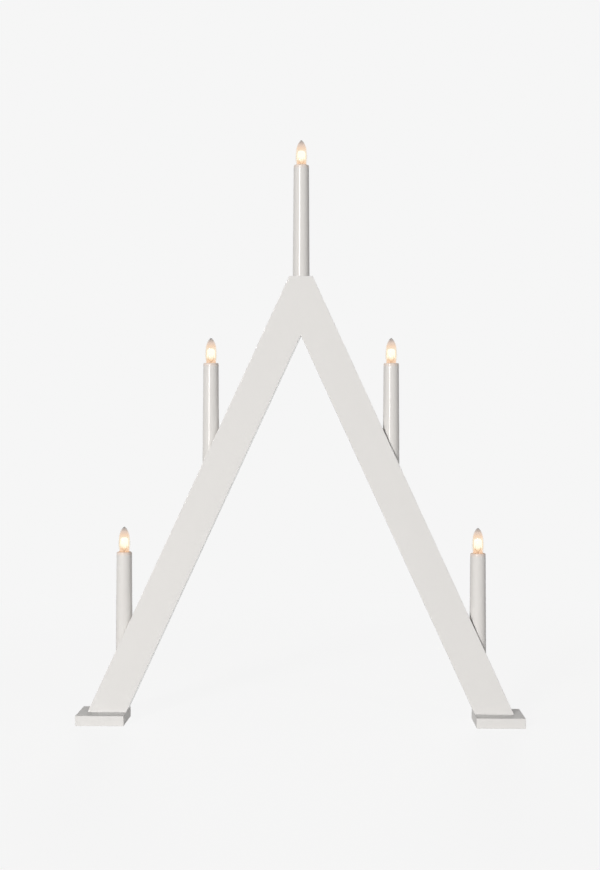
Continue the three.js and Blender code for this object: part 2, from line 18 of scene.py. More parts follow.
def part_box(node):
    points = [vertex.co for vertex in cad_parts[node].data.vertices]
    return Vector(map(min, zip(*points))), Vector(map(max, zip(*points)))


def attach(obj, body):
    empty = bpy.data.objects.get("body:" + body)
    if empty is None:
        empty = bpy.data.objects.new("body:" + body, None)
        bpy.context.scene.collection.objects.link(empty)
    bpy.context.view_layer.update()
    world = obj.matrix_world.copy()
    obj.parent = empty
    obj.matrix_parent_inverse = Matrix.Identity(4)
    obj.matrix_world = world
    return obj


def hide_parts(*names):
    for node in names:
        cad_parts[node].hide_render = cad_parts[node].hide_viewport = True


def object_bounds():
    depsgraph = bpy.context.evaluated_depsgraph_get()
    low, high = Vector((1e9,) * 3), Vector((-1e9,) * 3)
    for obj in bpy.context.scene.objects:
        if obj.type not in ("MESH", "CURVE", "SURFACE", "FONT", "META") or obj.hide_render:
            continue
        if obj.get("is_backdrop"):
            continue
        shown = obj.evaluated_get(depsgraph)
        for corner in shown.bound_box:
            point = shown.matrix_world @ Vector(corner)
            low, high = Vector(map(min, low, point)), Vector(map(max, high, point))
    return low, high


bl_info = {
    "name": "Advent Candlestick",
    "version": (1, 0, 0),
    "blender": (4, 5, 0),
    "location": "3D View > Sidebar > Candlestick",
    "description": "Models and finishes an advent candlestick with five candle bulbs",
    "category": "Add Mesh",
}

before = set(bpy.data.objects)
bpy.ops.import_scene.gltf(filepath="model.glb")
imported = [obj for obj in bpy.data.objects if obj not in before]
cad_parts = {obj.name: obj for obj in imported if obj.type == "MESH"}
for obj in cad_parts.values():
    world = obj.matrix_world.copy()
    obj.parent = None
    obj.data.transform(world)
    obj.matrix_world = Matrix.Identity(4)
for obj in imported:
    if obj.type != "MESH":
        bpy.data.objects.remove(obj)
cad_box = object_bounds()

MM = 0.001
CANDLES = ("left_outer", "left_inner", "top", "right_inner", "right_outer")
SIDES = {"left": -1, "right": 1}

# Room round a turned piece in its hole, room past an end, how far a cutter reaches past the
# face that it enters, and how far a piece may stray from its node
PLAY, GAP, PAST, STRAY = 0.35, 0.3, 1.0, 1.5


# Places that the frame gives, in millimetres


def corners_of(node):
    low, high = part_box(node)
    return low / MM, high / MM


def tube_rim(candle):
    """The middle of a candle tube's rim, from which everything in the candle is measured."""
    low, high = corners_of(f"candle_tube_{candle}")
    return Vector(((low.x + high.x) / 2, (low.y + high.y) / 2, high.z))


RIMS = {candle: tube_rim(candle) for candle in CANDLES}
LEG_LOW, LEG_HIGH = corners_of("leg_right")

# Legs
LEAN = math.radians(24.75)
SLOPE = math.tan(LEAN)
BOARD_WIDTH = 42.0
CROWN_WIDTH = 27.7
FRONT, BACK, CROWN, FOOT_TOP = LEG_LOW.y, LEG_HIGH.y, LEG_HIGH.z, LEG_LOW.z
OUTER_APEX = CROWN + CROWN_WIDTH / 2 / SLOPE
CENTRE_APEX = OUTER_APEX - BOARD_WIDTH / 2 / math.sin(LEAN)
INNER_APEX = OUTER_APEX - BOARD_WIDTH / math.sin(LEAN)

# Candle tube and what stands in it. Heights are from the rim.
TUBE_LENGTH = 145.0
TUBE_TOP = 9.2
TUBE_FOOT = RIMS["top"].x - corners_of("candle_tube_top")[0].x
TUBE_WALL = 1.2
LEDGE_TOP, LEDGE_FOOT, LEDGE_BORE = -26.8, -28.3, 6.2
HOLDER_FOOT, HOLDER_TOP, HOLDER_RADIUS = -26.5, -5.0, 7.6
SOCKET_FLOOR, SOCKET_RADIUS = -18.2, 5.6
SHELL_FOOT, SHELL_TOP, SHELL_RADIUS = -17.9, -4.64, 4.85
CAP_TOP, CAP_FOOT, CAP_RADIUS = -4.0, -14.0, 4.5
TIP_FOOT = -15.3
METAL = 0.4
PITCH = 1.814
NECK, NECK_FOOT = 3.75, -12.1
BELLY, BELLY_HEIGHT, BULB_REACH = 7.2, 9.0, 30.2
GLASS_WALL = 0.6
STEM_TOP = 2.5
LEAD_HALF, FILAMENT_HEIGHT, FILAMENT_RISE = 3.0, 10.0, 2.4

# Wiring in the back. GROOVE is how far inwards of a leg's middle line the groove runs.
WIRE = 2.2
WIRE_HOLE, WIRE_FALL = 11.0, 5.2
LEAD_SPACING, LANE_SPACING = 5.2, 3.0
LINK_LANE, RETURN_LANE = (FRONT + BACK) / 2 + 4.5, (FRONT + BACK) / 2 + 9.5
GROOVE_WIDTH, GROOVE_COVER, FLOOR_PLAY = 8.0, 3.5, 3.4
GROOVE_FLOOR = LINK_LANE - WIRE / 2 - FLOOR_PLAY
SEAT_DEPTH = 45.2
GROOVE = (SEAT_DEPTH + TUBE_FOOT / SLOPE) * math.sin(LEAN) + GROOVE_COVER - BOARD_WIDTH / 2
GLAND_LOW, GLAND_HIGH = corners_of("cord_gland")
GLAND_X, GLAND_Z = (GLAND_LOW.x + GLAND_HIGH.x) / 2, (GLAND_LOW.z + GLAND_HIGH.z) / 2
GLAND_BORE, GLAND_BARREL, GLAND_FLANGE, GLAND_DEPTH = 3.2, 4.4, 5.7, 5.5
RETURN_DIVE = BACK - GLAND_DEPTH - 2.6


def lean_height(x, offset):
    """The height of a line along the leg, offset inwards from its middle, at a place across."""
    return CENTRE_APEX - offset / math.sin(LEAN) - abs(x) / SLOPE


def lean_x(side, height, offset):
    """The place across of such a line, at a height."""
    return side * (CENTRE_APEX - offset / math.sin(LEAN) - height) * SLOPE


# Fixings
STAPLE_X = {
    "high": RIMS["right_inner"].x / 2,
    "low": (RIMS["right_inner"].x + RIMS["right_outer"].x) / 2,
}
STAPLE_HALF, STAPLE_LEG, STAPLE_THICK, STAPLE_WIDE = 5.35, 8.0, 0.9, 1.3
SCREWS = {
    "front": (lean_x(1, FOOT_TOP, BOARD_WIDTH / 2) + 12, FRONT + 8),
    "back": (lean_x(1, FOOT_TOP, -BOARD_WIDTH / 2) - 15, BACK - 9),
}
SCREW_RECESS, SCREW_LENGTH, SCREW_HEAD, SCREW_SHANK = 0.8, 30.0, 4.0, 2.0


def leg_axes(side):
    """The directions across a leg and up along it."""
    return (Vector((math.cos(LEAN), 0, side * math.sin(LEAN))),
            Vector((-side * math.sin(LEAN), 0, math.cos(LEAN))))


def staple_places(side):
    """Each staple's word, and its middle on the back of a leg."""
    return [(level, Vector((side * x, BACK, lean_height(x, GROOVE))))
            for level, x in STAPLE_X.items()]


# Sizes and colours that a user may change


def colour(name, description, *value):
    return FloatVectorProperty(
        name=name, description=description, subtype="COLOR", size=3, min=0, max=1, default=value)


def number(name, description, value, **rest):
    return FloatProperty(name=name, description=description, default=value, min=0, **rest)


def length(name, description, millimetres, most):
    return number(name, description, millimetres * MM, max=most * MM, subtype="DISTANCE",
                  unit="LENGTH", precision=5)


def share(name, description, value):
    return number(name, description, value, max=1, subtype="FACTOR")


def power(name, description, watts):
    return number(name, description, watts, subtype="POWER", unit="POWER")


class WoodSettings(bpy.types.PropertyGroup):
    """Painted boards and feet"""

    paint: colour("Paint", "Satin paint on the boards and feet", 0.79, 0.782, 0.776)
    bare: colour("Bare wood", "Wood inside the bores, the slots and the groove", 0.62, 0.45, 0.27)
    board_edge: length("Board edge", "Radius of the boards' eased edges", 0.42, 2)
    foot_edge: length("Foot edge", "Radius of the feet's eased edges", 0.6, 2)
    stipple: share("Stipple", "Strength of the roller's marks in the paint", 0.14)


class CandleSettings(bpy.types.PropertyGroup):
    """Candle tubes and what stands inside them"""

    plastic: colour("Tube plastic", "Moulded candle tubes", 0.787, 0.772, 0.76)
    # The lit rim's colour is a painted glow of the bulb's light on the plastic.
    painted_rim_glow: colour("Lit rim", "Plastic at the rim, warmed by the bulb", 0.86, 0.72, 0.64)
    holder: colour("Holder plastic", "Lamp holders and the cord gland", 0.74, 0.72, 0.66)
    metal: colour("Brass", "Bulb caps and screw shells", 0.74, 0.55, 0.27)
    rim: length("Rim drop", "How far the rounding of a tube's rim reaches down", 2.0, 3)
    thread: length("Thread depth", "Depth of the rolled screw thread", 0.42, 0.6)
    sides: IntProperty(
        name="Tube sides", description="Facets round a candle tube", default=96, min=24, max=192)


class BulbSettings(bpy.types.PropertyGroup):
    """Lit candle bulbs"""

    # The glass's warm tint is a painted glow of the bulb's own light.
    glass: colour("Glass", "Clear glass, warmed by its own light", 0.98, 0.935, 0.875)
    # The darkened point is painted shade, standing in for the dark edge that the glass shows there.
    painted_tip_shade: colour("Darkened glass", "Glass at the bulb's point", 0.66, 0.62, 0.6)
    core: colour("Glare", "White-hot glare round the filament", 1.0, 0.98, 0.88)
    halo: colour("Halo", "Warm light that fills the bulb", 1.0, 0.8, 0.5)
    ember: colour("Ember", "Red light round the foot of the leads", 1.0, 0.66, 0.44)
    brightness: number("Brightness", "Strength of the light that a bulb gives", 1.0, max=10)


class WiringSettings(bpy.types.PropertyGroup):
    """Wiring and fixings in the back"""

    sleeve: colour("Sleeve", "Insulation of the wires", 0.80, 0.78, 0.75)
    steel: colour("Steel", "Screws and staples", 0.56, 0.56, 0.57)
    strip_edge: length("Strip edge", "Rounding of the staples and contacts", 0.12, 0.3)


class StageSettings(bpy.types.PropertyGroup):
    """Floor, light and camera"""

    backdrop: share("Backdrop", "Brightness of the pale backdrop and floor", 0.921)
    ambient: share("Ambient", "Soft light from all sides", 0.09)
    key: power("Key light", "Power of the soft light on the left", 289)
    side: power("Side light", "Power of the weak light on the right", 52)
    back: power("Back light", "Power of the soft light behind the object", 190)
    turn: FloatProperty(
        name="Direction", description="How far left of the front the key light stands",
        default=math.radians(23), subtype="ANGLE", unit="ROTATION")
    lens: number("Lens", "Focal length for a 36 mm long side", 57.09, unit="CAMERA")


# Modelling by hand: selection, edit mode and modifiers


def deselect():
    bpy.ops.object.select_all(action="DESELECT")


def only(piece):
    """Selects one piece and nothing else."""
    deselect()
    piece.select_set(True)
    bpy.context.view_layer.objects.active = piece


@contextmanager
def editing(piece):
    """Edit mode on one piece, with all of it selected."""
    only(piece)
    bpy.ops.object.mode_set(mode="EDIT")
    bpy.ops.mesh.select_all(action="SELECT")
    yield
    bpy.ops.object.mode_set(mode="OBJECT")


def weld():
    """In edit mode: merges what meets and turns all faces outwards."""
    bpy.ops.mesh.select_all(action="SELECT")
    bpy.ops.mesh.remove_doubles(threshold=1e-6)
    bpy.ops.mesh.normals_make_consistent(inside=False)


def finish_with(piece, kind, **settings):
    """Adds a modifier, sets it and applies it."""
    only(piece)
    bpy.ops.object.modifier_add(type=kind)
    modifier = piece.modifiers[-1]
    for name, value in settings.items():
        setattr(modifier, name, value)
    bpy.ops.object.modifier_apply(modifier=modifier.name)


def extrude(way):
    """In edit mode: pulls out what is selected, in metres."""
    bpy.ops.mesh.extrude_region_move(TRANSFORM_OT_translate={"value": way})


def trace(name, corners):
    """A chain of edges, pulled out of a single corner from place to place."""
    deselect()
    bpy.ops.mesh.primitive_plane_add(size=MM, calc_uvs=False)
    piece = bpy.context.object
    piece.name = piece.data.name = name
    places = [Vector(corner) * MM for corner in corners]
    with editing(piece):
        bpy.ops.mesh.merge(type="CENTER")
        bpy.ops.transform.translate(value=places[0])
        for here, ahead in zip(places, places[1:]):
            extrude(ahead - here)
    return piece


def turn(name, outline, sides, closed=False, level=False):
    """A form spun from (radius, height) corners about the upright axis, or about +Y."""
    if closed:
        outline = [*outline, outline[0]]
    piece = trace(name, [(r, h, 0) if level else (r, 0, h) for r, h in outline])
    with editing(piece):
        bpy.ops.mesh.spin(steps=sides, angle=math.tau, center=(0, 0, 0),
                          axis=(0, 1, 0) if level else (0, 0, 1), use_auto_merge=True)
        weld()
    return piece


def prism(name, corners, pull, taper=1.0):
    """A closed outline of corners, filled and pulled out to a solid."""
    piece = trace(name, [*corners, corners[0]])
    with editing(piece):
        bpy.ops.mesh.remove_doubles(threshold=1e-6)
        bpy.ops.mesh.edge_face_add()
        extrude(Vector(pull) * MM)
        if taper != 1.0:
            bpy.ops.transform.resize(value=(taper, taper, taper))
        weld()
    return piece


def slab(name, outline, front, back):
    """An upright (x, z) outline, pulled out to a solid from front to back."""
    return prism(name, [(x, front, z) for x, z in outline], (0, back - front, 0))


def rod(name, route, diameter, sides):
    """A round wire along a route, closed at both ends."""
    only(trace(name, route))
    bpy.ops.object.convert(target="CURVE")
    line = bpy.context.object
    line.data.bevel_depth = diameter / 2 * MM
    line.data.bevel_resolution = sides // 4 - 1
    line.data.use_fill_caps = True
    bpy.ops.object.convert(target="MESH")
    piece = bpy.context.object
    with editing(piece):
        weld()
    piece.name = piece.data.name = name
    return piece


def strip(name, line, across, thickness, edge):
    """A bent metal strip: its middle line pulled across, thickened, and its edges rounded."""
    across = Vector(across)
    piece = trace(name, [Vector(place) - across / 2 for place in line])
    with editing(piece):
        extrude(across * MM)
        weld()
    finish_with(piece, "SOLIDIFY", thickness=thickness * MM, offset=0, use_even_offset=True)
    finish_with(piece, "BEVEL", width=edge, segments=2, limit_method="ANGLE",
                angle_limit=math.radians(50))
    return piece


def drill(x, y, bottom, top, radius, sides=64, level=False):
    """A cylinder to cut with, upright, or level along Y where y is its height."""
    deselect()
    middle = (bottom + top) / 2
    bpy.ops.mesh.primitive_cylinder_add(
        vertices=sides, radius=radius * MM, depth=abs(top - bottom) * MM,
        location=Vector((x, middle, y) if level else (x, y, middle)) * MM,
        rotation=(math.pi / 2, 0, 0) if level else (0, 0, 0))
    return bpy.context.object


def cut(piece, cutters, inside=None, operation="DIFFERENCE"):
    """Takes cutters out of a piece, and gives the new walls the finish inside."""
    for cutter in cutters:
        if inside:
            cutter.data.materials.append(inside)
        finish_with(piece, "BOOLEAN", operation=operation, solver="MANIFOLD", object=cutter,
                    material_mode="TRANSFER")
        bpy.data.objects.remove(cutter)


def soften(piece, degrees, flat_faces=False):
    """Smooth shading up to an angle. Large flat faces keep their own direction."""
    only(piece)
    bpy.ops.object.shade_smooth_by_angle(angle=math.radians(degrees))
    if flat_faces:
        finish_with(piece, "WEIGHTED_NORMAL", keep_sharp=True)


def dress(piece, finish, degrees):
    """Gives a piece its finish and smooth shading."""
    piece.data.materials.append(finish)
    soften(piece, degrees)


def roll_thread(piece, low, high, depth, pitch=PITCH):
    """Presses a right-hand screw thread into a turned wall between two heights."""
    group = piece.vertex_groups.new(name="thread")
    for corner in piece.data.vertices:
        x, y, z = corner.co / MM
        fade = max(0.0, min(1.0, (z - low) / pitch, (high - z) / pitch))
        around = z / pitch - math.atan2(y, x) / math.tau
        weight = fade * (0.5 - 0.5 * math.cos(math.tau * around))
        group.add([corner.index], weight, "REPLACE")
    finish_with(piece, "DISPLACE", vertex_group="thread", strength=-depth, mid_level=0,
                direction="NORMAL")
    piece.vertex_groups.clear()


def mark_rise(piece, low, high):
    """Stores how far up each corner lies between two heights, for finishes that change with it."""
    marks = piece.data.attributes.new("rise", "FLOAT", "POINT")
    for corner, mark in zip(piece.data.vertices, marks.data):
        mark.value = (corner.co.z / MM - low) / (high - low)


def moved(piece, place):
    """Moves a piece's mesh, so that its object stays at the origin."""
    only(piece)
    piece.location = Vector(place) * MM
    bpy.ops.object.transform_apply(location=True, rotation=False, scale=False)
    return piece


def copied(piece, name, place):
    """A copy with a mesh of its own, at its place."""
    only(piece)
    bpy.ops.object.duplicate(linked=False)
    twin = bpy.context.object
    twin.name = twin.data.name = name
    return moved(twin, place)


def joined(name, first, *others):
    """Several shells in one piece."""
    only(first)
    for piece in others:
        piece.select_set(True)
    bpy.ops.object.join()
    first.name = first.data.name = name
    return first


def settle(piece, body, node=None):
    """Lets a finished piece ride on its body, in place of the frame's own node."""
    if not piece.data.polygons or None in piece.data.materials[:]:
        raise RuntimeError(f"{piece.name} has no faces or an empty material slot")
    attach(piece, body)
    if node:
        for axis, (low, high) in enumerate(zip(*corners_of(node))):
            along = [corner.co[axis] / MM for corner in piece.data.vertices]
            if min(along) < low - STRAY or max(along) > high + STRAY:
                raise RuntimeError(f"{piece.name} leaves the place of {node}")
        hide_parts(node)


def settle_candles(piece, word, body, node=None):
    """Copies a candle's piece into all five candles. body holds {} where the candle's name goes."""
    for candle in CANDLES:
        twin = copied(piece, f"{word}_{candle}", RIMS[candle])
        settle(twin, body.format(candle), node and f"{node}_{candle}")
    bpy.data.objects.remove(piece)


# Routes and outlines


def rounded(corners, bend, steps=6):
    """Rounds the corners of a route, each within less than half of its stretches."""
    corners = [Vector(corner) for corner in corners]
    points = [corners[0]]
    for before, corner, after in zip(corners, corners[1:], corners[2:]):
        back, ahead = before - corner, after - corner
        reach = min(bend, back.length * 0.48, ahead.length * 0.48)
        start, end = corner + back.normalized() * reach, corner + ahead.normalized() * reach
        for step in range(steps + 1):
            t = step / steps
            points.append(start * (1 - t) ** 2 + corner * 2 * t * (1 - t) + end * t * t)
    return [*points, corners[-1]]


def arc(cx, cz, rx, rz, first, last, steps):
    """Corners on a quarter or part of an ellipse, in degrees from +X."""
    angles = [math.radians(first + (last - first) * i / steps) for i in range(steps + 1)]
    return [(cx + rx * math.cos(a), cz + rz * math.sin(a)) for a in angles]


def rings(radius, low, high, steps):
    """Corners evenly up a straight wall, for a thread to bend."""
    return [(radius, low + (high - low) * i / steps) for i in range(steps + 1)]


def inset(points, wall):
    """A line inside an outline that runs up its right side, one wall's thickness away."""
    inner = []
    for i, point in enumerate(points):
        ahead = Vector(points[min(i + 1, len(points) - 1)])
        behind = Vector(points[max(i - 1, 0)])
        along = (ahead - behind).normalized()
        inner.append((max(point[0] - along.y * wall, 0), point[1] + along.x * wall))
    return inner


# Finishes


def feed(tree, node, **inputs):
    """Sets a node's inputs. Each is a value, or another node's socket to link."""
    for name, value in inputs.items():
        socket = node.inputs[name.replace("_", " ")]
        if isinstance(value, bpy.types.NodeSocket):
            tree.links.new(value, socket)
        else:
            socket.default_value = value


def add(tree, kind, settings=None, **inputs):
    """Adds a shader node with its settings and inputs."""
    node = tree.nodes.new(f"ShaderNode{kind}")
    for name, value in (settings or {}).items():
        setattr(node, name, value)
    feed(tree, node, **inputs)
    return node


def mixed(tree, one, other, amount=None):
    """Two shaders mixed by an amount from 0 to 1, or both added up."""
    node = add(tree, "MixShader", Fac=amount) if amount else add(tree, "AddShader")
    for shader, socket in zip((one, other), node.inputs[-2:]):
        tree.links.new(shader.outputs[0], socket)
    return node


def ramp(tree, amount, *marks):
    """A colour that runs through (place, tone) marks as an amount goes from 0 to 1."""
    node = add(tree, "ValToRGB", Fac=amount)
    elements = node.color_ramp.elements
    for _ in marks[2:]:
        elements.new(0.5)
    for i, (place, tone) in enumerate(marks):
        elements[i].position = place
        elements[i].color = (*tone, 1)
    return node.outputs["Color"]


def ranged(tree, amount, start, end, low=0, high=1, kind="SMOOTHSTEP"):
    """Runs from low to high while an amount goes from start to end."""
    return add(tree, "MapRange", {"interpolation_type": kind}, Value=amount, From_Min=start,
               From_Max=end, To_Min=low, To_Max=high).outputs["Result"]


def rise(tree):
    """How far up its piece a place lies, from 0 to 1."""
    return add(tree, "Attribute", {"attribute_name": "rise"}).outputs["Fac"]


def mottled(tree, size, detail, lean=0.0):
    """Cloudy noise whose spots have a size along each axis, in millimetres."""
    place = add(tree, "TexCoord").outputs["Object"]
    mapping = add(tree, "Mapping", {"vector_type": "TEXTURE"}, Vector=place,
                  Rotation=(0, lean, 0), Scale=Vector(size) * MM)
    return add(tree, "TexNoise", Vector=mapping.outputs["Vector"], Scale=1.0, Detail=detail,
               Roughness=0.55).outputs["Fac"]


def shade(tint, amount):
    return tuple(channel * amount for channel in tint)


def tinted(tree, noise, tint, dark, start=0.3, end=0.7):
    """A tint, mottled with a darker tone or a darker share of its own."""
    dark = shade(tint, dark) if isinstance(dark, float) else dark
    return ramp(tree, mottled(tree, *noise), (start, dark), (end, tint))


def new_finish(name, tint=None, gloss=None, relief=(), **values):
    """A material, made once. A noise in it is a size, a detail and a lean.

    Tint is a noise, a colour and its darker tone, gloss a noise and two roughnesses, and each
    relief a noise, a depth in millimetres and a strength. Values are the shader's own, or
    functions that add nodes for them.
    """
    finish = bpy.data.materials.get(name)
    if finish:
        return finish
    finish = bpy.data.materials.new(name)
    finish.use_nodes = True
    tree = finish.node_tree
    inputs = {word: value(tree) if callable(value) else value for word, value in values.items()}
    if tint:
        inputs["Base_Color"] = tinted(tree, *tint)
    if gloss:
        noise, smooth, rough = gloss
        inputs["Roughness"] = ranged(tree, mottled(tree, *noise), 0.25, 0.75, smooth, rough,
                                     "LINEAR")
    for noise, depth, strength in relief:
        bump = add(tree, "Bump", Height=mottled(tree, *noise), Distance=depth * MM,
                   Strength=strength)
        if "Normal" in inputs:
            feed(tree, bump, Normal=inputs["Normal"])
        inputs["Normal"] = bump.outputs["Normal"]
    feed(tree, tree.nodes["Principled BSDF"], **inputs)
    return finish


def satin_paint(settings, side=0):
    """Satin white paint, rolled on wood whose grain runs along the leaning board or the foot."""
    word = {-1: "left_board", 0: "foot", 1: "right_board"}[side]
    smooth, rough, gloss = (0.13, 0.18, 0.5) if side else (0.5, 0.6, 0.25)
    lean = -side * LEAN if side else math.pi / 2
    clouds, grain, stipple = ((60, 60, 220), 2, lean), ((1.1, 1.1, 60), 4, lean), ((0.9,) * 3, 2)
    return new_finish(
        f"satin_paint_{word}", (clouds, settings.paint, 0.985), (grain, smooth, rough),
        ((grain, 0.03, 0.35), (stipple, 0.04, settings.stipple)), Specular_IOR_Level=gloss)


def bare_wood(settings, side=0):
    """Bare pine with darker late-wood lines along the board."""
    word = {-1: "left", 0: "upright", 1: "right"}[side]
    lines, fibres = ((1.6, 2.4, 90), 5, -side * LEAN), ((0.25, 0.25, 9), 3, -side * LEAN)
    return new_finish(f"bare_wood_{word}", (lines, settings.bare, 0.72, 0.36, 0.6),
                      (fibres, 0.68, 0.88), ((lines, 0.08, 0.5), (fibres, 0.05, 0.6)))


def tube_plastic(settings):
    """Glossy plastic with the faint flow marks of its mould, and a painted warm glow of the bulb's
    light at the rim.
    """
    flow, skin = ((9, 9, 60), 2), ((1.4, 1.4, 2.6), 2)

    def warmed(tree):
        # Towards the rim the plastic's colour runs into a painted glow of the bulb's light.
        return add(tree, "MixRGB", Fac=ranged(tree, rise(tree), 0, 1),
                   Color1=tinted(tree, flow, settings.plastic, 0.98),
                   Color2=(*settings.painted_rim_glow, 1)).outputs["Color"]
    return new_finish("tube_plastic", gloss=(flow, 0.15, 0.2), relief=((skin, 0.02, 0.12),),
                      Base_Color=warmed, Specular_IOR_Level=0.25)


def holder_plastic(settings):
    clouds, grit = ((6,) * 3, 2), ((0.35,) * 3, 2)
    return new_finish("holder_plastic", (clouds, settings.holder, 0.94), (grit, 0.44, 0.58),
                      ((grit, 0.03, 0.3),))


def wire_sleeve(settings):
    clouds, ripple = ((14, 4, 14), 2), ((0.8,) * 3, 2)
    return new_finish("wire_sleeve", (clouds, settings.sleeve, 0.93), (ripple, 0.4, 0.55),
                      ((ripple, 0.02, 0.3),), Sheen_Weight=0.05)


def metal(name, tint, smooth, rough, streak):
    """Bare metal with fine tool marks and a little tarnish."""
    tarnish, marks = ((2.2, 2.2, 1.4), 4), (streak, 3)
    return new_finish(name, (tarnish, tint, 0.78), (marks, smooth, rough),
                      ((marks, 0.012, 0.35),), Metallic=1.0)


def brass(settings):
    return metal("brass", settings.metal, 0.2, 0.38, (4, 4, 0.25))


def bulb_glass(settings):
    """Thin clear glass, with a painted warm glow where the light is and painted shade at the point.
    """
    def warmed(tree):
        # Up the bulb the colour runs from the glow-tinted glass through a painted warm band of glow
        # to painted shade at the point.
        return ramp(tree, rise(tree), (0.6, settings.glass), (0.7, (1.0, 0.86, 0.74)),
                    (0.83, (0.91, 0.81, 0.745)), (0.95, settings.painted_tip_shade))
    return new_finish("bulb_glass", gloss=(((5, 5, 9), 2), 0.02, 0.06), Base_Color=warmed,
                      Transmission_Weight=1.0, IOR=1.2, Specular_IOR_Level=0.6)


def glow(name, tint, strength, foot, head, start, end):
    """A veil of light whose thickness changes from its foot to its head."""
    return new_finish(
        name, Alpha=lambda tree: ranged(tree, rise(tree), start, end, foot, head),
        Base_Color=(0, 0, 0, 1), Roughness=1.0, Specular_IOR_Level=0.0,
        Emission_Color=(*tint, 1), Emission_Strength=strength)


def glowing_wire(settings):
    heat = (0.5,) * 3, 2
    return new_finish("glowing_wire", (heat, (1.0, 0.75, 0.45), (0.9, 0.5, 0.2)),
                      Emission_Color=(1.0, 0.72, 0.36, 1),
                      Emission_Strength=9 * settings.brightness)


def stem_glass():
    swirl = (1.5, 1.5, 3), 3
    return new_finish("stem_glass", gloss=(swirl, 0.08, 0.25), relief=((swirl, 0.05, 0.4),),
                      Transmission_Weight=0.85, IOR=1.3, Base_Color=(0.93, 0.9, 0.86, 1))


def button_glass():
    """Black glass that insulates the bulb's end contact."""
    clouds = (0.8,) * 3, 3
    return new_finish("button_glass", (clouds, (0.035, 0.03, 0.05), (0.012, 0.01, 0.016)),
                      (clouds, 0.12, 0.3), Specular_IOR_Level=0.6)


# Operators, one for the stage and one for each piece or group of like pieces, in the order
# in which they run


class PieceOperator:
    """What all operators share."""

    bl_options = {"REGISTER", "UNDO"}

    def execute(self, context):
        self.build(context.scene)
        return {"FINISHED"}


